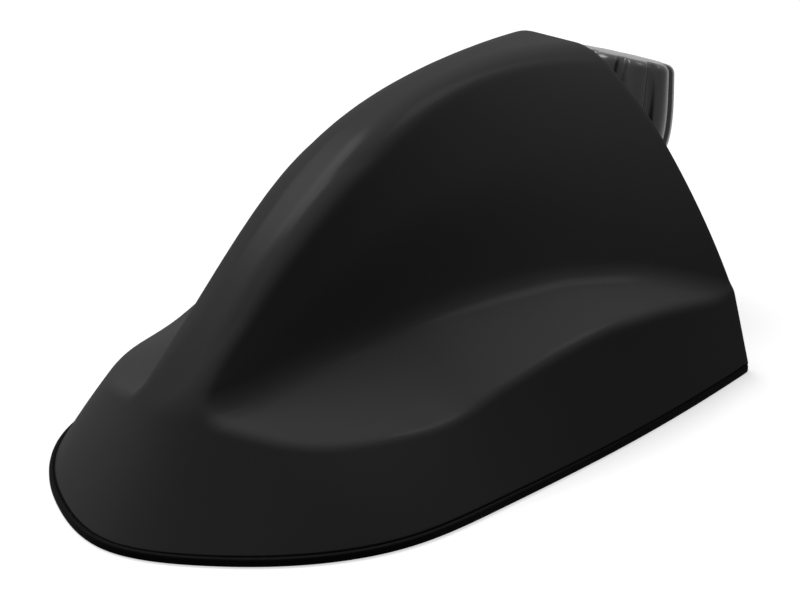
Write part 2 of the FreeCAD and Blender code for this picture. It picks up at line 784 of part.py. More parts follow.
collar_bottom = -s.boss_depth - s.whip_collar_thickness
keep(raked(turned("Whip_stud", [
    (0.0, collar_bottom),
    (s.whip_stud_collar, collar_bottom),
    (s.whip_stud_collar, -s.boss_depth),
    (s.whip_stud_radius, -s.boss_depth),
    (s.whip_stud_radius, s.whip_stud_reach - s.thread_chamfer / 2),
    (s.whip_stud_radius - s.thread_chamfer / 2, s.whip_stud_reach),
    (0.0, s.whip_stud_reach)])), "whip_stud")

cap_top = s.cap_gap + s.cap_height
insert_top = s.cap_gap + s.insert_length
keep(raked(turned("Cap_insert", [
    (s.whip_stud_radius + s.thread_clearance, s.cap_gap),
    (s.insert_radius, s.cap_gap),
    (s.insert_radius, insert_top),
    (s.whip_stud_radius + s.thread_clearance, insert_top)])), "cap_insert")

cap_seal_outside = s.cap_seal_inside + s.cap_seal_section
keep(raked(turned("Cap_seal", [
    (s.cap_seal_inside, 0.0),
    (cap_seal_outside, 0.0),
    (cap_seal_outside, s.cap_seal_section),
    (s.cap_seal_inside, s.cap_seal_section)])), "cap_seal")

cap_blank = turned("Cap_blank", [
    (s.insert_radius, s.cap_gap),
    (s.cap_seal_inside - s.fit_gap, s.cap_gap),
    (s.cap_seal_inside - s.fit_gap, s.cap_seal_section),
    (cap_seal_outside + s.fit_gap, s.cap_seal_section),
    (cap_seal_outside + s.fit_gap, s.cap_gap),
    (s.cap_skirt_radius - s.cap_edge, s.cap_gap),
    (s.cap_skirt_radius, s.cap_gap + s.cap_edge),
    (s.cap_top_radius, cap_top - s.cap_edge),
    (s.cap_top_radius - s.cap_edge, cap_top),
    (0.0, cap_top),
    (0.0, insert_top),
    (s.insert_radius, insert_top)])


def flutes():
    """Finger flutes that lean with the cap's taper, spaced evenly round it."""
    radius = float(s.flute_radius)
    offset = radius - float(s.flute_depth)
    foot = Vec(float(s.cap_skirt_radius) + offset, 0, float(s.cap_gap) - radius)
    end = Vec(float(s.cap_top_radius) + offset, 0, float(cap_top - s.cap_rim))
    bar = Part.makeCylinder(radius, (end - foot).Length, foot, end - foot)
    turns = [bar.rotated(Vec(0, 0, 0), Z_AXIS, 360.0 * (index + 0.5) / FLUTES) for index in range(FLUTES)]
    return turns[0].fuse(turns[1:])


keep(raked(cut("Whip_cap", cap_blank, shaped("Flutes", flutes()))), "whip_cap")


def ribbon(path, thickness):
    """The closed outline of a bent strip below a path, with mitred bends."""
    below = []
    for index, spot in enumerate(path):
        before = (spot - path[index - 1]).normalize() if index > 0 else None
        after = (path[index + 1] - spot).normalize() if index < len(path) - 1 else None
        first = before or after
        second = after or before
        normals = [Vec(way.z, 0, -way.x) for way in (first, second)]
        mitre = (normals[0] + normals[1]).normalize()
        below.append(spot + mitre * (thickness / mitre.dot(normals[0])))
    return Part.makePolygon(path + below[::-1] + [path[0]])


contact_top = float(board_top + s.contact_thickness)
contact_foot_x = float(s.board_rear) - float(s.contact_foot) / 2
contact_path = [
    Vec(contact_foot_x, 0, contact_top),
    Vec(contact_foot_x + float(s.contact_foot), 0, contact_top),
    Vec(float(tail_x), 0, contact_top + float(s.whip_collar_thickness)),
    whip_point(float(collar_bottom), -float(s.whip_stud_radius)),
    whip_point(float(collar_bottom), float(s.whip_stud_radius))]
strip_face = Part.Face(ribbon(contact_path, float(s.contact_thickness)))
strip_face.translate(Vec(0, -float(s.contact_width) / 2, 0))
keep(shaped("Whip_contact", strip_face.extrude(Vec(0, float(s.contact_width), 0))), "whip_contact")


doc.recompute()
os.makedirs("parts", exist_ok=True)
for item in doc.Objects:
    if "Invalid" in item.State or "Error" in item.State:
        raise RuntimeError(item.Label + " failed")
for node in nodes:
    if node.Shape.isNull() or not node.Shape.isValid():
        raise RuntimeError(node.Label + " has no valid shape")
    node.Shape.exportStep(os.path.join("parts", node.Label + ".step"))
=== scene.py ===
"""Shark fin roof aerial on a pale studio floor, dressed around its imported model."""
import math

import bmesh
import bpy
import numpy as np
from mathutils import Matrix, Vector


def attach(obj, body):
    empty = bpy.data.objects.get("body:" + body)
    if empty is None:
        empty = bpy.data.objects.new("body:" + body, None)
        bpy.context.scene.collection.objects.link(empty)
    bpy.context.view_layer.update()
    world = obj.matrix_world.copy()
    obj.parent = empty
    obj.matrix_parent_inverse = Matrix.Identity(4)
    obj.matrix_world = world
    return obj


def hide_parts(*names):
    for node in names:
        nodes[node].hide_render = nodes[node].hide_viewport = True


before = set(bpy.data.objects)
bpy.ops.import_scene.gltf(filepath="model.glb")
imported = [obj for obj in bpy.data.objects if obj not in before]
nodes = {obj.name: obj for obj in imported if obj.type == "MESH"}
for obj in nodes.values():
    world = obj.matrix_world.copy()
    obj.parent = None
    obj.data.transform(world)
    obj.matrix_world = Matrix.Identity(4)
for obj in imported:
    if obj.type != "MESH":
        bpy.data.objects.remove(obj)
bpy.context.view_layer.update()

# Camera: a long lens from ahead of the nose and above, on the near side of the fin.
# The view looks down at about 23 degrees and 39 degrees off the middle plane.
heading, pitch = math.radians(38.66), math.radians(22.67)
view_way = Vector((math.cos(heading) * math.cos(pitch), math.sin(heading) * math.cos(pitch),
                   -math.sin(pitch)))
camera_data = bpy.data.cameras.new("studio_camera")
camera_data.sensor_width = 36.0
camera_data.lens = 180.9
camera_data.clip_start = 0.02
camera = bpy.data.objects.new("studio_camera", camera_data)
bpy.context.scene.collection.objects.link(camera)
camera.location = (-0.5409791, -0.4436151, 0.3181861)
camera.rotation_euler = view_way.to_track_quat("-Z", "Y").to_euler()
bpy.context.scene.camera = camera

# Moulded fin cover: one dark plastic shell, 2.6 mm thick, open at the foot and screwed to the base
# plate from below. Its skin is the drafted bullet under the ridge line, with a scoop taken out of
# each side beside the fin, and every edge rounded as the mould leaves it. Lengths here are in mm.
NOSE_X, TAIL_X, FOOT_Z, DATUM_Z = -70.0, 69.0, 1.6, 74.0
FIN, HALF, WALL, TAIL_ROUND, CROWN_ROUND = 65.2, 45.9, 2.6, 0.9, 3.0
HIGH_HALF, NOSE_SETBACK, TAIL_SETBACK, RIM_HEIGHT = 28.4, 48.6, 5.0, 16.0
LEAN_START, LEAN_RUN, FAN_START, FAN_LENGTH = 20.0, 48.1, -12.0, 36.0
SHOULDER_FILLET, CREASE_FILLET, RIM_FILLET, CROWN_FILLET = 16.0, 8.0, 3.6, 3.0
LONGEST_RAY = 110.0


def spline(stations, values, at):
    """A cubic curve through (station, value) pairs, its ends aimed by the parabola of the end three."""
    x, y = np.asarray(stations, float), np.asarray(values, float)
    h = np.diff(x)
    slope = np.diff(y) / h
    first = slope[0] - h[0] * (slope[1] - slope[0]) / (h[0] + h[1])
    last = slope[-1] + h[-1] * (slope[-1] - slope[-2]) / (h[-1] + h[-2])
    n = len(x)
    system, right = np.zeros((n, n)), np.zeros(n)
    system[0, 0] = system[-1, -1] = 1.0
    right[0], right[-1] = first, last
    for k in range(1, n - 1):
        system[k, k - 1:k + 2] = h[k], 2 * (h[k - 1] + h[k]), h[k - 1]
        right[k] = 3 * (h[k] * slope[k - 1] + h[k - 1] * slope[k])
    steep = np.linalg.solve(system, right)
    at = np.asarray(at, float)
    i = np.clip(np.searchsorted(x, at) - 1, 0, n - 2)
    t = (at - x[i]) / h[i]
    return (y[i] * (1 + 2 * t) * (1 - t) ** 2 + y[i + 1] * t * t * (3 - 2 * t)
            + h[i] * (steep[i] * t * (1 - t) ** 2 - steep[i + 1] * t * t * (1 - t)))


def grid_read(table, rows, columns, row_at, column_at):
    """The value of a table on even rows and columns, blended between its four nearest entries."""
    r = np.clip((row_at - rows[0]) / (rows[1] - rows[0]), 0, len(rows) - 1.001)
    c = np.clip((column_at - columns[0]) / (columns[1] - columns[0]), 0, len(columns) - 1.001)
    i, j = r.astype(int), c.astype(int)
    r, c = r - i, c - j
    return ((table[i, j] * (1 - c) + table[i, j + 1] * c) * (1 - r)
            + (table[i + 1, j] * (1 - c) + table[i + 1, j + 1] * c) * r)


def joined(a, a_way, b, b_way, radius):
    """Two distances and their unit normals joined by a fillet: where both lie within the radius, the
    distance is measured to the round bar that touches both surfaces, and elsewhere it is the greater."""
    cosine = np.clip((a_way * b_way).sum(-1), -0.95, 0.985)
    u, v = a + radius, b + radius
    within = (u > cosine * v) & (v > cosine * u)
    spread = 1 - cosine * cosine
    bar = np.sqrt(np.maximum(u * u + v * v - 2 * cosine * u * v, 1e-9) / spread)
    way = (u - cosine * v)[..., None] * a_way + (v - cosine * u)[..., None] * b_way
    way /= np.maximum(np.linalg.norm(way, axis=-1, keepdims=True), 1e-9)
    sharp = np.where((a > b)[..., None], a_way, b_way)
    return np.where(within, bar - radius, np.maximum(a, b)), np.where(within[..., None], way, sharp)


# Plan outlines at the roof and at the datum height, from the nose to the tail corner
plan_share = np.array([0.049, 0.126, 0.233, 0.408, 0.680, 1.0])
foot_width = np.array([0.392, 0.671, 0.874, 0.962, 1.0, 0.965]) * HALF
high_width = np.array([0.200, 0.330, 0.470, 0.700, 0.930, 1.0]) * HIGH_HALF
high_nose, high_tail = NOSE_X + NOSE_SETBACK, TAIL_X - TAIL_SETBACK


def outline(nose, length, widths):
    """Half a bullet plan: a curve through its points and their mirror images, by chord length."""
    px = np.r_[(nose + length * plan_share)[::-1], nose, nose + length * plan_share]
    py = np.r_[-widths[::-1], 0.0, widths]
    chord = np.r_[0, np.cumsum(np.hypot(np.diff(px), np.diff(py)))]
    at = np.linspace(chord[6], chord[-1], 400)
    return spline(chord, px, at), spline(chord, py, at)


foot_x, foot_y = outline(NOSE_X, TAIL_X - NOSE_X, foot_width)
high_x, high_y = outline(high_nose, high_tail - high_nose, high_width)

# Stations run from the tail to the nose. Each is an upright half plane through the middle plane;
# the planes face sideways along the body and turn forwards round the nose.
STATIONS, RAYS, INNER_RAYS = 170, 150, 26
walk = np.r_[0, np.cumsum(np.hypot(np.diff(foot_x), np.diff(foot_y)))]
turn_start = np.interp(FAN_START, foot_x, walk)
stand = np.linspace(walk[-1] - TAIL_ROUND, 0.0, STATIONS)
toward = np.clip(1 - stand / turn_start, 0, 1)
station_foot_x, station_foot_y = np.interp(stand, walk, foot_x), np.interp(stand, walk, foot_y)
station_x = np.where(toward > 0, FAN_START - FAN_LENGTH * toward ** 1.15, station_foot_x)
aim = np.arctan2(station_foot_y, station_foot_x - station_x)
aim_x, aim_y = np.cos(aim), np.sin(aim)
lean_share = np.clip((station_x - LEAN_START) / LEAN_RUN, 0, 1)
tail_lean = TAIL_SETBACK / DATUM_Z * lean_share

# The side walls lean in further beside the fin: how much, at the rim's height, by station
waist_x = np.array([-60.0, -52, -44, -36, -28, -20, -12, -4, 4, 20, 36, 52, 69])
waist_in = np.array([0.0, 0, 0.3, 1.5, 2.5, 3.05, 3.05, 2.5, 1.9, 1.1, 0.6, 0.2, 0])

# How far the wall lies from each station's foot point, at a ladder of heights
ladder = np.linspace(0.0, 70.0, 57)
reach = np.zeros((STATIONS, len(ladder)))
for step, height in enumerate(ladder):
    k = height / DATUM_Z
    wall_x, wall_y = foot_x + (high_x - foot_x) * k, foot_y + (high_y - foot_y) * k
    lean_in = spline(waist_x, waist_in, np.clip(wall_x, waist_x[0], waist_x[-1]))
    wall_y = wall_y - lean_in * min(height / RIM_HEIGHT, 1.6)
    for number in range(STATIONS):
        moved_x = wall_x - station_x[number] + tail_lean[number] * height
        across = moved_x * aim_y[number] - wall_y * aim_x[number]
        along = moved_x * aim_x[number] + wall_y * aim_y[number]
        if across[-1] > 0 > across[0]:
            reach[number, step] = np.interp(0.0, across, along)
        else:
            reach[number, step] = along[np.argmin(np.abs(across))]
station_rows = np.arange(STATIONS, dtype=float)
wall_draft = np.gradient(reach, ladder, axis=1)

# Ridge line, deck and flank arcs, by place along the body
ridge_share = np.array([-0.097, 0.049, 0.194, 0.340, 0.485, 0.728, 1.068])
ridge_height = np.array([-0.092, 0.226, 0.524, 0.757, 0.919, 0.999, 0.878]) * FIN
rim_x = np.array([-85.0, -60, -52, -44, -36, -28, -20, -12, -4, 4,
                  12, 20, 28, 36, 44, 52, 60, 68, 80])
rim_y = np.array([2.0, 12, 20, 26.9, 30.9, 33.6, 34.8, 35.4, 36.4, 37.3,
                  38.1, 38.8, 39.4, 39.8, 40.2, 40.5, 40.8, 41, 41])
rim_z = np.array([24.5, 20.6, 18.7, 17.0, 16.4, 16.1, 15.9, 16.4, 17.8, 19.1,
                  20.3, 21.1, 21.4, 20.9, 20.1, 18.8, 17.2, 15.6, 13])
deck_fall = np.array([0.25, 0.29, 0.31, 0.33, 0.38, 0.43, 0.49, 0.535, 0.53, 0.505,
                      0.47, 0.445, 0.44, 0.46, 0.51, 0.56, 0.6, 0.62, 0.64])
flank_nose = [(0.132, 0.269), (-0.044, 0.580), (-0.059, 0.911)]
flank_tail = [(0.874, 0.280), (0.6435, 0.590), (0.247, 0.926)]


def arc_points(spots):
    """A circle through three points, carried on past both ends by 0.35 of the chord over the radius."""
    (ax, az), (bx, bz), (cx, cz) = [(y * HALF, z * FIN) for y, z in spots]
    a_square, b_square, c_square = ax * ax + az * az, bx * bx + bz * bz, cx * cx + cz * cz
    d = 2 * (ax * (bz - cz) + bx * (cz - az) + cx * (az - bz))
    ux = (a_square * (bz - cz) + b_square * (cz - az) + c_square * (az - bz)) / d
    uz = (a_square * (cx - bx) + b_square * (ax - cx) + c_square * (bx - ax)) / d
    radius = math.hypot(ax - ux, az - uz)
    spread = 0.35 * math.hypot(cx - ax, cz - az) / radius
    turns = np.unwrap([math.atan2(z - uz, x - ux) for x, z in ((ax, az), (bx, bz), (cx, cz))])
    sign = np.sign(turns[2] - turns[0])
    at = np.linspace(turns[0] - sign * spread, turns[2] + sign * spread, 200)
    return ux + radius * np.cos(at), uz + radius * np.sin(at)


lengthwise = np.linspace(-85.0, 80.0, 166)
upright = np.linspace(0.0, 75.0, 151)
ridge_table = spline(ridge_share, ridge_height, (lengthwise - NOSE_X) / (TAIL_X - NOSE_X))

# The height at which the flank leaves the deck, and how much fuller than its arc it is at the crown
crease_z = spline([-85, -60, -36, -20, 0, 20, 40, 60, 69, 80],
                  [20, 21.6, 23.2, 25.2, 27.5, 27.7, 25.6, 19.1, 15.5, 12], lengthwise)
fuller = spline([-85, -60, -45, -30, -10, 15, 40, 60, 80],
                [0, 0, 0.5, 1.2, 2.3, 1.7, 0.7, 0.0, -0.4], lengthwise)
flank_table = np.zeros((len(lengthwise), len(upright)))
for row, x in enumerate(lengthwise):
    share = (x - NOSE_X) / (TAIL_X - NOSE_X)
    spots = [(a[0] + (b[0] - a[0]) * share, a[1] + (b[1] - a[1]) * share)
             for a, b in zip(flank_nose, flank_tail)]
    arc_y, arc_z = arc_points(spots)
    full_height = 0.6 * max(ridge_table[row] - crease_z[row], 8.0)
    up_flank = np.clip((upright - crease_z[row]) / full_height, 0, 1)
    flank_table[row] = np.interp(upright, arc_z, arc_y) + fuller[row] * up_flank ** 2 * (3 - 2 * up_flank)
flank_along, flank_lean = np.gradient(flank_table, lengthwise, upright)
deck_table = np.stack([spline(rim_x, rim_z, lengthwise) + spline(rim_x, deck_fall, lengthwise)
                       * spline(rim_x, rim_y, lengthwise), -spline(rim_x, deck_fall, lengthwise)])
deck_along = np.gradient(deck_table, lengthwise, axis=1)
ridge_rise_table = np.gradient(ridge_table, lengthwise)


def unit(x, y, z):
    """Vectors scaled to length one: each part over the root of the sum of squares."""
    way = np.stack(np.broadcast_arrays(x, y, z), -1)
    return way / np.linalg.norm(way, axis=-1, keepdims=True)


def cover_distance(row, x, y, z):
    """How far a point lies outside the cover's skin, in mm: outside the wall or above the ridge, or
    else outside the flank and above the deck at once, with a fillet wherever two of them meet. The
    rim's fillet grows above 26 mm, and grows again toward the tail."""
    radial = (x - station_x[row] + tail_lean[row] * z) * aim_x[row] + y * aim_y[row]
    draft = grid_read(wall_draft, station_rows, ladder, row.astype(float), z)
    wall_way = unit(aim_x[row], aim_y[row], -draft)
    wall = (radial - grid_read(reach, station_rows, ladder, row.astype(float), z)) / np.sqrt(1 + draft ** 2)
    rise = np.interp(x, lengthwise, ridge_rise_table)
    ridge = (z - np.interp(x, lengthwise, ridge_table)) / np.sqrt(1 + rise ** 2)
    hull, hull_way = joined(wall, wall_way, ridge, unit(-rise, 0.0, 1.0), SHOULDER_FILLET)
    along, lean = (grid_read(t, lengthwise, upright, x, z) for t in (flank_along, flank_lean))
    flank = (y - grid_read(flank_table, lengthwise, upright, x, z)) / np.sqrt(1 + lean ** 2 + along ** 2)
    fall = np.interp(x, lengthwise, deck_table[1])
    slope = np.interp(x, lengthwise, deck_along[0]) + np.interp(x, lengthwise, deck_along[1]) * y
    deck = (z - np.interp(x, lengthwise, deck_table[0]) - fall * y) / np.sqrt(1 + fall ** 2 + slope ** 2)
    scoop, scoop_way = joined(-flank, unit(along, -1.0, lean), -deck, unit(slope, fall, -1.0),
                              CREASE_FILLET)
    crown = CROWN_FILLET * np.clip((z - 26.0) / 10.0, 0, 1)
    edge = RIM_FILLET + crown * (1 + np.clip((x - 30) / 40, 0, 1))
    return joined(hull, hull_way, -scoop, -scoop_way, edge)[0]


# The tail edge is drawn in row by row as a quarter round, wider over the ridge than down the sides,
# then a flat, raked face closes the end
turn = np.linspace(math.pi / 2, 0, 6)[:-1]
grid_station = np.r_[np.zeros(5, int), np.arange(STATIONS)]
grid_shift = np.r_[TAIL_ROUND * np.sin(turn), np.zeros(STATIONS)]
from_tail = np.r_[TAIL_ROUND * (1 - np.sin(turn)), TAIL_X - station_x]


def half_shell(rays, inset):
    """One half of a skin: points where rays from the foot's middle line reach the skin drawn in by
    inset, in rows from the middle of the tail face, over its rounded edge, to the nose."""
    number, angle = np.meshgrid(np.arange(len(grid_station)), np.linspace(0, math.pi / 2, rays),
                                indexing="ij")
    row = grid_station[number]
    out, up = np.cos(angle), np.sin(angle)
    low, high = np.zeros(number.shape), np.full(number.shape, LONGEST_RAY)
    bend = TAIL_ROUND + CROWN_ROUND * np.clip((angle - 1.05) / 0.35, 0, 1) ** 2
    level = bend - np.sqrt(np.maximum(bend ** 2 - np.maximum(bend - from_tail[number], 0) ** 2, 0)) + inset
    base = station_x[row] + grid_shift[number] - inset * lean_share[row]
    for halving in range(24):
        middle = (low + high) / 2
        z = FOOT_Z + middle * up
        x = base + middle * out * aim_x[row] - tail_lean[row] * z
        outside = cover_distance(row, x, middle * out * aim_y[row], z) > -level
        high, low = np.where(outside, middle, high), np.where(outside, low, middle)
    z = FOOT_Z + low * up
    skin = np.stack([base + low * out * aim_x[row] - tail_lean[row] * z, low * out * aim_y[row], z], -1)
    centre = np.array([base[0, 0] - tail_lean[0] * FOOT_Z, 0.0, FOOT_Z])
    face = centre + np.linspace(0, 1, 9)[:-1, None, None] * (skin[0] - centre)
    return np.concatenate([face, skin])


def grid_faces(rows, columns, start=0, wrap=False):
    """Four-cornered faces between neighbouring rows and columns of a grid of points."""
    index = start + np.arange(rows * columns).reshape(rows, columns)
    if wrap:
        index = np.c_[index, index[:, :1]]
    return np.stack([index[:-1, :-1], index[1:, :-1], index[1:, 1:], index[:-1, 1:]], -1).reshape(-1, 4)


def add_mesh(name, points, faces, smooth=True):
    """A mesh piece in metres from points in mm, its doubled points merged and its faces kept as turned."""
    mesh = bpy.data.meshes.new(name)
    mesh.from_pydata((np.asarray(points, float) / 1000.0).tolist(), [], np.asarray(faces, int).tolist())
    work = bmesh.new()
    work.from_mesh(mesh)
    bmesh.ops.remove_doubles(work, verts=work.verts, dist=2e-6)
    bmesh.ops.dissolve_degenerate(work, edges=work.edges, dist=1e-7)
    work.to_mesh(mesh)
    work.free()
    mesh.polygons.foreach_set("use_smooth", np.full(len(mesh.polygons), smooth))
    mesh.update()
    piece = bpy.data.objects.new(name, mesh)
    bpy.context.scene.collection.objects.link(piece)
    return piece


outer, inner = half_shell(RAYS, 0.0), half_shell(INNER_RAYS, WALL)
rows = len(outer)
outer_faces = grid_faces(rows, RAYS)
inner_faces = grid_faces(rows, INNER_RAYS, rows * RAYS)[:, ::-1]
outer_foot, inner_foot = np.arange(rows) * RAYS, rows * RAYS + np.arange(rows) * INNER_RAYS
rim_faces = np.stack([outer_foot[:-1], inner_foot[:-1], inner_foot[1:], outer_foot[1:]], -1)
half_points = np.r_[outer.reshape(-1, 3), inner.reshape(-1, 3)]
half_points[np.abs(half_points[:, 1]) < 1e-3, 1] = 0.0
half_faces = np.r_[outer_faces, inner_faces, rim_faces]
fin_cover = add_mesh("fin_cover", np.r_[half_points * [1, -1, 1], half_points],
                     np.r_[half_faces[:, ::-1], half_faces + len(half_points)])
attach(fin_cover, "housing")
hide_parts("cover")


def node_group(name, inputs, outputs):
    """An empty shader group with float sockets: its tree, its input node and its output node."""
    tree = bpy.data.node_groups.new(name, "ShaderNodeTree")
    for label, value in inputs:
        socket = tree.interface.new_socket(label, in_out="INPUT", socket_type="NodeSocketFloat")
        socket.default_value = value
    for label in outputs:
        tree.interface.new_socket(label, in_out="OUTPUT", socket_type="NodeSocketFloat")
    return tree, tree.nodes.new("NodeGroupInput"), tree.nodes.new("NodeGroupOutput")


# Mould grain: fine spark-eroded pits over slow patches where the tool was polished more or less.
# Fine gives the pits' height, and Patch a slow value from 0 to 1.
grain_tree, grain_in, grain_out = node_group("mould_grain", [("Scale", 4000.0), ("Patches", 60.0)],
                                             ["Fine", "Patch"])
coordinate = grain_tree.nodes.new("ShaderNodeTexCoord")
pits = grain_tree.nodes.new("ShaderNodeTexNoise")
pits.inputs["Detail"].default_value = 3.0
patch = grain_tree.nodes.new("ShaderNodeTexNoise")
patch.inputs["Detail"].default_value = 2.0
for noise, label, result in ((pits, "Scale", "Fine"), (patch, "Patches", "Patch")):
    grain_tree.links.new(coordinate.outputs["Object"], noise.inputs["Vector"])
    grain_tree.links.new(grain_in.outputs[label], noise.inputs["Scale"])
    grain_tree.links.new(noise.outputs["Fac"], grain_out.inputs[result])


def finish_material(name, dark, light, roughness, scale, patches, bump,
                    metallic=0.0, specular=0.5, coat=0.0):
    """A material whose colour runs from dark to light and whose roughness spreads over the grain's
    patches, with the fine pits as its bump. Returns the material."""
    material = bpy.data.materials.new(name)
    material.use_nodes = True
    tree = material.node_tree
    principled = tree.nodes["Principled BSDF"]
    principled.inputs["Metallic"].default_value = metallic
    principled.inputs["Specular IOR Level"].default_value = specular
    principled.inputs["Coat Weight"].default_value = coat
    principled.inputs["Coat Roughness"].default_value = 0.22
    grain = tree.nodes.new("ShaderNodeGroup")
    grain.node_tree = grain_tree
    grain.inputs["Scale"].default_value = scale
    grain.inputs["Patches"].default_value = patches
    blend = tree.nodes.new("ShaderNodeMix")
    blend.data_type = "RGBA"
    blend.inputs["A"].default_value = (*dark, 1)
    blend.inputs["B"].default_value = (*light, 1)
    spread = tree.nodes.new("ShaderNodeMapRange")
    spread.inputs["To Min"].default_value, spread.inputs["To Max"].default_value = roughness
    hollow = tree.nodes.new("ShaderNodeBump")
    hollow.inputs["Strength"].default_value = bump
    hollow.inputs["Distance"].default_value = 0.0001
    tree.links.new(grain.outputs["Patch"], blend.inputs["Factor"])
    tree.links.new(blend.outputs["Result"], principled.inputs["Base Color"])
    tree.links.new(grain.outputs["Patch"], spread.inputs["Value"])
    tree.links.new(spread.outputs["Result"], principled.inputs["Roughness"])
    tree.links.new(grain.outputs["Fine"], hollow.inputs["Height"])
    tree.links.new(hollow.outputs["Normal"], principled.inputs["Normal"])
    return material


def wear(piece, material):
    """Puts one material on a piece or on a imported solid, in place of what it came with."""
    piece.data.materials.clear()
    piece.data.materials.append(material)


dark_plastic = finish_material("dark_moulded_plastic", (0.038, 0.038, 0.0395), (0.043, 0.043, 0.0445),
                               (0.36, 0.44), 5200.0, 45.0, 0.12, specular=0.0, coat=0.05)
wear(fin_cover, dark_plastic)

# Whip pedestal: the raked cone that grows out of the tail, part of the same moulding. It is hollow
# like the cover, and its flat seat carries the threaded whip stud. Lengths here are in mm.
SEAT_X, SEAT_Z, RAKE = 78.3, 34.0, math.radians(20.0)
SEAT_RADIUS, ROOT_RADIUS, BORE_RADIUS, BOSS_DEPTH, SEAT_EDGE = 8.2, 14.5, 3.0, 9.0, 0.8
axis_way = np.array([math.sin(RAKE), 0.0, math.cos(RAKE)])
axis_out = np.array([math.cos(RAKE), 0.0, -math.sin(RAKE)])
axis_side = np.array([0.0, 1.0, 0.0])
seat = np.array([SEAT_X, 0.0, SEAT_Z])
cone_spread = (ROOT_RADIUS - SEAT_RADIUS) / (SEAT_Z / math.cos(RAKE))


def raked(radius, along, angle):
    """Points at a radius and angle about the whip's axis, at a distance along it from the seat."""
    return (seat + np.asarray(along)[..., None] * axis_way
            + (radius * np.cos(angle))[..., None] * axis_out
            + (radius * np.sin(angle))[..., None] * axis_side)


def cone_foot(angle, inset):
    """Where the cone's straight side at an angle comes down to the foot: seat height less the
    drop per mm along the axis and per mm of widening, solved for the distance."""
    across = -np.cos(angle) * math.sin(RAKE)
    down = (SEAT_Z + (SEAT_RADIUS - inset) * across - FOOT_Z) / (math.cos(RAKE) - cone_spread * across)
    return raked(SEAT_RADIUS - inset + cone_spread * down, -down, angle)


around = np.linspace(0, 2 * math.pi, 97)[:-1]
blank = np.ones(len(around))
round_off = np.linspace(0, math.pi / 2, 6)
pedestal_rows = [raked(BORE_RADIUS * blank, -1.4 * BOSS_DEPTH * blank, around),
                 raked(BORE_RADIUS * blank, 0 * blank, around)]
pedestal_rows += [raked((SEAT_RADIUS - SEAT_EDGE + SEAT_EDGE * math.sin(t)) * blank,
                        (SEAT_EDGE * math.cos(t) - SEAT_EDGE) * blank, around)
                  for t in round_off]
shoulder = pedestal_rows[-1]
pedestal_rows += [shoulder + (cone_foot(around, 0.0) - shoulder) * t for t in np.linspace(0, 1, 12)[1:]]
hollow_top = raked((SEAT_RADIUS - WALL) * blank + cone_spread * BOSS_DEPTH,
                   -BOSS_DEPTH * blank - 0.8, around)
pedestal_rows += [hollow_top + (cone_foot(around, WALL) - hollow_top) * t for t in np.linspace(1, 0, 6)]
pedestal_rows += [raked(BORE_RADIUS * blank + 0.6, -BOSS_DEPTH * blank - 0.8, around), pedestal_rows[0]]
pedestal = add_mesh("whip_pedestal", np.concatenate(pedestal_rows),
                    grid_faces(len(pedestal_rows), len(around), wrap=True))
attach(pedestal, "housing")
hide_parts("cover")
wear(pedestal, dark_plastic)

# Fluted cap: a glossier plastic knob on a brass insert, screwed to the stud where a whip would be.
# Ten narrow flutes run up its barrel side and leave broad domed ribs. Lengths here are in mm.
CAP_GAP, CAP_HEIGHT, SKIRT_RADIUS, CAP_TOP_RADIUS, CAP_FLUTES = 0.5, 18.6, 12.0, 11.0, 10
RIB_TURN = math.radians(18.0)
side_height = np.r_[0.0, 0.12, 0.4, 1.0, np.linspace(1.6, CAP_HEIGHT - 2.2, 22),
                    CAP_HEIGHT - np.array([1.5, 1.1, 0.8, 0.5, 0.28, 0.12, 0.0])]
edge_in = np.where(side_height < 1.0, 1.0 - np.sqrt(1 - (1 - np.clip(side_height, 0, 1)) ** 2), 0.0)
top_in = np.clip((side_height - (CAP_HEIGHT - 1.5)) / 1.5, 0, 1)
edge_in = edge_in + 1.5 * (1 - np.sqrt(1 - top_in ** 2))
side_share = side_height / CAP_HEIGHT
side_radius = SKIRT_RADIUS + (CAP_TOP_RADIUS - SKIRT_RADIUS) * side_share - edge_in
side_radius += 1.5 * np.sin(math.pi * side_share ** 0.6)
cap_around = np.linspace(0, 2 * math.pi, 385)[:-1]


def flute_depth(angle, height):
    """Depth of the flutes, from a wave round the cap: a gentle dome across each broad rib, and between
    the ribs a smooth step down of 1 mm, which runs out under the top edge."""
    wave = 0.5 - 0.5 * np.cos(CAP_FLUTES * (angle - RIB_TURN))
    step = np.clip((wave - 0.60) / 0.36, 0, 1) * np.clip((CAP_HEIGHT + 0.9 - height) / 1.6, 0, 1)
    return 0.5 * wave + 1.0 * step ** 2 * (3 - 2 * step)


side_rows = [raked(radius - flute_depth(cap_around, height), CAP_GAP + height + 0 * cap_around, cap_around)
             for radius, height in zip(side_radius, side_height)]
rim_edge = side_rows[-1]
crown_centre = seat + axis_way * (CAP_GAP + CAP_HEIGHT)
crown_rows = [crown_centre + (rim_edge - crown_centre) * t + axis_way * 0.25 * (1 - t * t)
              for t in (0.93, 0.8, 0.6, 0.4, 0.2, 0.0)]
blank_cap = np.ones(len(cap_around))
under_profile = [(0.0, CAP_GAP + 9.0), (4.6, CAP_GAP + 9.0), (4.6, CAP_GAP), (5.5, CAP_GAP),
                 (5.5, 1.6), (7.7, 1.6), (7.7, CAP_GAP)]
under_rows = [raked(r * blank_cap, a * blank_cap, cap_around) for r, a in under_profile]
cap_rows = under_rows + side_rows + crown_rows
fluted_cap = add_mesh("fluted_cap", np.concatenate(cap_rows),
                      grid_faces(len(cap_rows), len(cap_around), wrap=True)[:, ::-1])
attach(fluted_cap, "cap")
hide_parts("whip_cap")
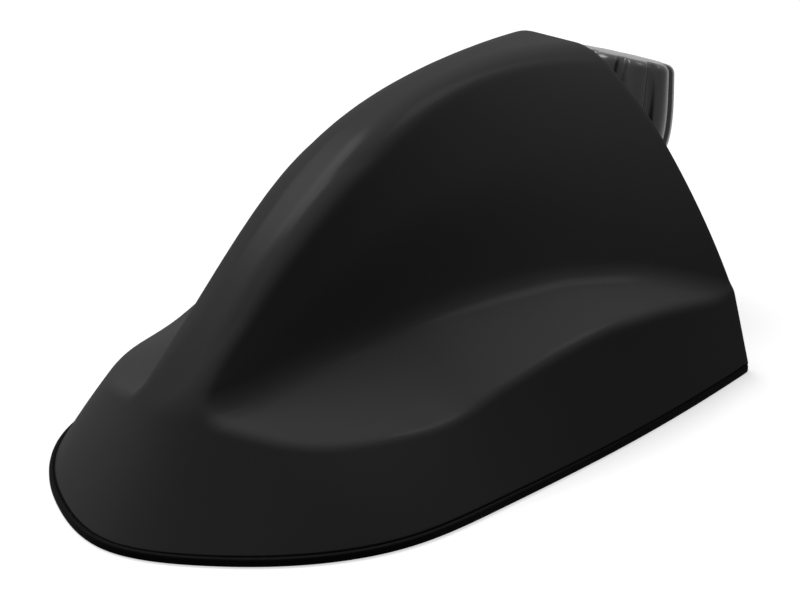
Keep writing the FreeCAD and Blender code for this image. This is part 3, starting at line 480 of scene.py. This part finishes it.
wear(fluted_cap, finish_material("cap_plastic_gloss", (0.046, 0.046, 0.049), (0.054, 0.054, 0.058),
                                 (0.26, 0.34), 5200.0, 60.0, 0.08, specular=0.3))

# Mounting stud: a hollow nickel-plated M18 stud with a round flange, put up through the plate so
# that the cables leave inside it. Its thread is rolled, 1.5 mm to a turn. Lengths here are in mm.
STUD_RADIUS, THREAD_PITCH, THREAD_DEPTH, STUD_BORE, LEAD_RADIUS = 9.0, 1.5, 0.8, 6.2, 8.4
STUD_FOOT, LEAD_TOP, FLANGE_LOW, FLANGE_HIGH, FLANGE_RADIUS = -24.0, -15.0, 4.6, 7.2, 13.5
stud_around = np.linspace(0, 2 * math.pi, 73)[:-1]
thread_height = np.arange(LEAD_TOP + 0.3, FLANGE_LOW - 2.2, THREAD_PITCH / 8)


def thread_radius(height, angle):
    """Radius of the thread: the crest less a wave that climbs one pitch in each turn."""
    wave = 0.5 - 0.5 * np.cos(2 * math.pi * (height / THREAD_PITCH - angle / (2 * math.pi)))
    return STUD_RADIUS - THREAD_DEPTH * wave ** 0.8


def upright_ring(radius, height, angle):
    """Points at a radius and height about the stud's upright axis."""
    return np.stack(np.broadcast_arrays(radius * np.cos(angle), radius * np.sin(angle), height), -1)


lead_profile = [(STUD_BORE, FLANGE_HIGH), (STUD_BORE, STUD_FOOT), (LEAD_RADIUS - 1.0, STUD_FOOT),
                (LEAD_RADIUS, STUD_FOOT + 1.0), (LEAD_RADIUS, LEAD_TOP)]
flange_profile = [(8.6, FLANGE_LOW - 1.9), (8.6, FLANGE_LOW - 1.6),
                  (STUD_RADIUS, FLANGE_LOW - 1.5), (STUD_RADIUS, FLANGE_LOW),
                  (FLANGE_RADIUS - 0.3, FLANGE_LOW), (FLANGE_RADIUS, FLANGE_LOW + 0.3),
                  (FLANGE_RADIUS, FLANGE_HIGH - 0.5), (FLANGE_RADIUS - 0.5, FLANGE_HIGH),
                  (STUD_BORE, FLANGE_HIGH)]
stud_rows = [upright_ring(r, h, stud_around) for r, h in lead_profile]
stud_rows += [upright_ring(thread_radius(h, stud_around), h, stud_around) for h in thread_height]
stud_rows += [upright_ring(r, h, stud_around) for r, h in flange_profile]
threaded_stud = add_mesh("threaded_stud", np.concatenate(stud_rows),
                         grid_faces(len(stud_rows), len(stud_around), wrap=True)[:, ::-1])
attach(threaded_stud, "housing")
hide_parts("mounting_stud")
wear(threaded_stud, finish_material("nickel_plate", (0.50, 0.48, 0.43), (0.62, 0.60, 0.54),
                                    (0.24, 0.38), 1500.0, 160.0, 0.10, metallic=1.0))

# Base gasket: a sheet of black closed-cell rubber, 1.6 mm thick, that seals the base to the roof.
# Its lip stands flush with the cover and shows as a dark line with small open cells.
TAIL_CORNER, LIP_HEIGHT, LIP_DEPTH = 2.0, 1.6, 0.9
corner_turn = np.linspace(math.pi / 2, 0, 9)
side_line = np.stack([foot_x, foot_y], -1)[foot_x < TAIL_X - TAIL_CORNER - 0.2]
tail_side = np.interp(TAIL_X - TAIL_CORNER, foot_x, foot_y)
corner_line = np.stack([TAIL_X - TAIL_CORNER + TAIL_CORNER * np.cos(corner_turn),
                        tail_side - TAIL_CORNER + TAIL_CORNER * np.sin(corner_turn)], -1)
tab_turn = np.linspace(1.35, 0.0, 24)
tab_line = cone_foot(tab_turn, 0.0)[:, :2]
lip_half = np.concatenate([side_line, corner_line, tab_line[tab_line[:, 0] > TAIL_X + 0.2]])
lip_line = np.concatenate([lip_half, lip_half[-2:0:-1] * [1, -1]])
lip_ahead = np.roll(lip_line, -1, 0) - np.roll(lip_line, 1, 0)
lip_out = np.stack([lip_ahead[:, 1], -lip_ahead[:, 0]], -1) / np.linalg.norm(lip_ahead, axis=1)[:, None]
lip_out *= np.sign((lip_out * lip_line).sum(-1))[:, None]
lip_profile = [(LIP_DEPTH, 0.0), (0.35, 0.0), (0.1, 0.12), (0.0, 0.4), (0.0, 1.15), (0.1, 1.5),
               (0.2, LIP_HEIGHT), (LIP_DEPTH, LIP_HEIGHT), (LIP_DEPTH, 0.0)]
lip_rows = [np.c_[lip_line - lip_out * inset, np.full(len(lip_line), height)]
            for inset, height in lip_profile]
gasket_lip = add_mesh("gasket_lip", np.concatenate(lip_rows),
                      grid_faces(len(lip_rows), len(lip_line), wrap=True))
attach(gasket_lip, "housing")
gasket_foam = finish_material("gasket_rubber_foam", (0.003, 0.003, 0.003), (0.009, 0.009, 0.009),
                              (0.75, 0.92), 1400.0, 1100.0, 0.9, specular=0.03)
wear(gasket_lip, gasket_foam)
wear(nodes["base_gasket"], gasket_foam)

# Moulded seals: the ring round the plate's edge, the ring at the stud and the ring under the cap.
# All are soft black rubber with a slight bloom.
seal_rubber = finish_material("seal_rubber_soft", (0.010, 0.010, 0.011), (0.018, 0.018, 0.019),
                              (0.55, 0.72), 2600.0, 260.0, 0.35, specular=0.3)
for seal_name in ("cover_seal", "stud_seal", "cap_seal"):
    wear(nodes[seal_name], seal_rubber)

# Base plate: die-cast zinc alloy with raised board posts, left as cast. It has a fine sandy skin.
wear(nodes["base_plate"], finish_material("cast_zinc", (0.36, 0.36, 0.37), (0.50, 0.50, 0.51),
                                          (0.42, 0.60), 1800.0, 120.0, 0.45, metallic=1.0))

# Nut, toothed washer and screws: zinc-plated steel, passivated to a faintly mottled silver grey.
plated_steel = finish_material("zinc_plated_steel", (0.46, 0.47, 0.49), (0.62, 0.63, 0.65),
                               (0.26, 0.42), 2200.0, 240.0, 0.15, metallic=1.0)
for steel_name in ("mounting_nut", "toothed_washer", "cover_screws", "board_screws"):
    wear(nodes[steel_name], plated_steel)

# Whip stud, cap insert and its spring contact: turned brass, nickel-flashed where the whip's
# current passes. Its grain is fine pits over slow patches; the lathe's faint rings are not drawn.
turned_brass = finish_material("turned_brass", (0.56, 0.42, 0.20), (0.70, 0.54, 0.28),
                               (0.20, 0.34), 1900.0, 300.0, 0.14, metallic=1.0)
for brass_name in ("whip_stud", "cap_insert", "whip_contact", "coax_sockets"):
    wear(nodes[brass_name], turned_brass)

# Circuit boards: green solder mask over glass laminate. Copper pours show through the mask as
# slightly lighter fields with straight edges.
board_green = finish_material("solder_mask_green", (0.008, 0.045, 0.022), (0.012, 0.062, 0.030),
                              (0.28, 0.40), 3000.0, 200.0, 0.10)
board_tree = board_green.node_tree
board_place = board_tree.nodes.new("ShaderNodeTexCoord")
pour = board_tree.nodes.new("ShaderNodeTexBrick")
pour.inputs["Scale"].default_value = 90.0
pour.inputs["Mortar Size"].default_value = 0.035
pour.inputs["Color1"].default_value = (1.0, 1.0, 1.0, 1)
pour.inputs["Color2"].default_value = (0.72, 0.80, 0.74, 1)
pour.inputs["Mortar"].default_value = (0.45, 0.50, 0.45, 1)
tint = board_tree.nodes.new("ShaderNodeMix")
tint.data_type, tint.blend_type = "RGBA", "MULTIPLY"
tint.inputs["Factor"].default_value = 1.0
mask_colour = board_tree.nodes["Mix"]
board_tree.links.new(board_place.outputs["Object"], pour.inputs["Vector"])
board_tree.links.new(mask_colour.outputs["Result"], tint.inputs["A"])
board_tree.links.new(pour.outputs["Color"], tint.inputs["B"])
board_tree.links.new(tint.outputs["Result"], board_tree.nodes["Principled BSDF"].inputs["Base Color"])
for board_name in ("main_board", "lna_board", "fin_board"):
    wear(nodes[board_name], board_green)

# Patch antenna: pressed ceramic, fired to an even buff, a little chalky to the touch.
wear(nodes["gnss_patch"], finish_material("fired_ceramic", (0.50, 0.46, 0.38), (0.58, 0.54, 0.46),
                                          (0.50, 0.66), 2600.0, 180.0, 0.25))

# Shield can: folded tin plate, soldered down, with the soft mottling of the tin.
wear(nodes["shield_can"], finish_material("tin_plate", (0.55, 0.56, 0.56), (0.68, 0.69, 0.68),
                                          (0.22, 0.40), 900.0, 320.0, 0.12, metallic=1.0))

# Radiating elements: bare rolled copper, on the fin board and standing beside it.
rolled_copper = finish_material("rolled_copper", (0.60, 0.28, 0.16), (0.74, 0.40, 0.25),
                                (0.24, 0.40), 1700.0, 260.0, 0.12, metallic=1.0)
for copper_name in ("fin_element", "wifi_element_left", "wifi_element_right"):
    wear(nodes[copper_name], rolled_copper)

# Vent disc: a white stretched membrane that lets air through and keeps water out.
wear(nodes["vent_disc"], finish_material("vent_fibre", (0.66, 0.66, 0.64), (0.78, 0.78, 0.76),
                                         (0.70, 0.85), 5000.0, 700.0, 0.5))

# Studio: a pale floor that goes on into a white background. Seen straight, in gloss or through
# glass, both are white, and the floor keeps the aerial's soft shadow.
floor = add_mesh("studio_floor", [(-3000, -3000, 0), (3000, -3000, 0), (3000, 3000, 0), (-3000, 3000, 0)],
                 [(0, 1, 2, 3)], False)


def seen_ray(tree):
    """1 for rays from the camera, in a reflection or through glass, and 0 for scattered light."""
    path = tree.nodes.new("ShaderNodeLightPath")
    first = tree.nodes.new("ShaderNodeMath")
    second = tree.nodes.new("ShaderNodeMath")
    first.operation = second.operation = "MAXIMUM"
    tree.links.new(path.outputs["Is Camera Ray"], first.inputs[0])
    tree.links.new(path.outputs["Is Glossy Ray"], first.inputs[1])
    tree.links.new(first.outputs[0], second.inputs[0])
    tree.links.new(path.outputs["Is Transmission Ray"], second.inputs[1])
    return second.outputs[0]


floor_material = bpy.data.materials.new("pale_floor")
floor_material.use_nodes = True
floor_tree = floor_material.node_tree
floor_shader = floor_tree.nodes["Principled BSDF"]
floor_shader.inputs["Specular IOR Level"].default_value = 0.0
floor_shader.inputs["Emission Color"].default_value = (1, 1, 1, 1)
floor_colour = floor_tree.nodes.new("ShaderNodeMix")
floor_colour.data_type = "RGBA"
floor_colour.inputs["A"].default_value = (0.07, 0.07, 0.07, 1)
floor_colour.inputs["B"].default_value = (0.40, 0.40, 0.40, 1)
floor_glow = floor_tree.nodes.new("ShaderNodeMath")
floor_glow.operation = "MULTIPLY"
floor_glow.inputs[1].default_value = 0.64
floor_seen = seen_ray(floor_tree)
floor_tree.links.new(floor_seen, floor_colour.inputs["Factor"])
floor_tree.links.new(floor_colour.outputs["Result"], floor_shader.inputs["Base Color"])
floor_tree.links.new(floor_seen, floor_glow.inputs[0])
floor_tree.links.new(floor_glow.outputs[0], floor_shader.inputs["Emission Strength"])
wear(floor, floor_material)

world = bpy.data.worlds.new("studio_world")
world.use_nodes = True
world_tree = world.node_tree
backdrop = world_tree.nodes["Background"]
backdrop.inputs["Color"].default_value = (1, 1, 1, 1)
world_level = world_tree.nodes.new("ShaderNodeMapRange")
world_level.inputs["To Min"].default_value = 0.07
world_level.inputs["To Max"].default_value = 1.0
world_tree.links.new(seen_ray(world_tree), world_level.inputs["Value"])
world_tree.links.new(world_level.outputs["Result"], backdrop.inputs["Strength"])
bpy.context.scene.world = world


def soft_lamp(name, way, distance, size, level):
    """A square lamp in a direction from the fin, in metres. Its power makes a white face turned to
    it render as level: power is level times pi squared times the distance squared."""
    data = bpy.data.lights.new(name, "AREA")
    data.shape = "SQUARE"
    data.size = size
    data.energy = level * math.pi ** 2 * distance ** 2
    lamp = bpy.data.objects.new(name, data)
    bpy.context.scene.collection.objects.link(lamp)
    lamp.location = Vector(way).normalized() * distance
    lamp.rotation_euler = Vector(way).to_track_quat("Z", "Y").to_euler()


# A broad lamp overhead toward the far side, and a weaker one above the tail that draws the light
# lines along the scoop's crease and rim
LAMP_DISTANCE = 1.3
soft_lamp("overhead_lamp", (0.06, 0.38, 0.90), LAMP_DISTANCE, 0.6, 1.02)
soft_lamp("line_lamp", (0.58, -0.28, 0.72), LAMP_DISTANCE, 0.4, 0.16)

bpy.context.scene.view_settings.view_transform = "Standard"
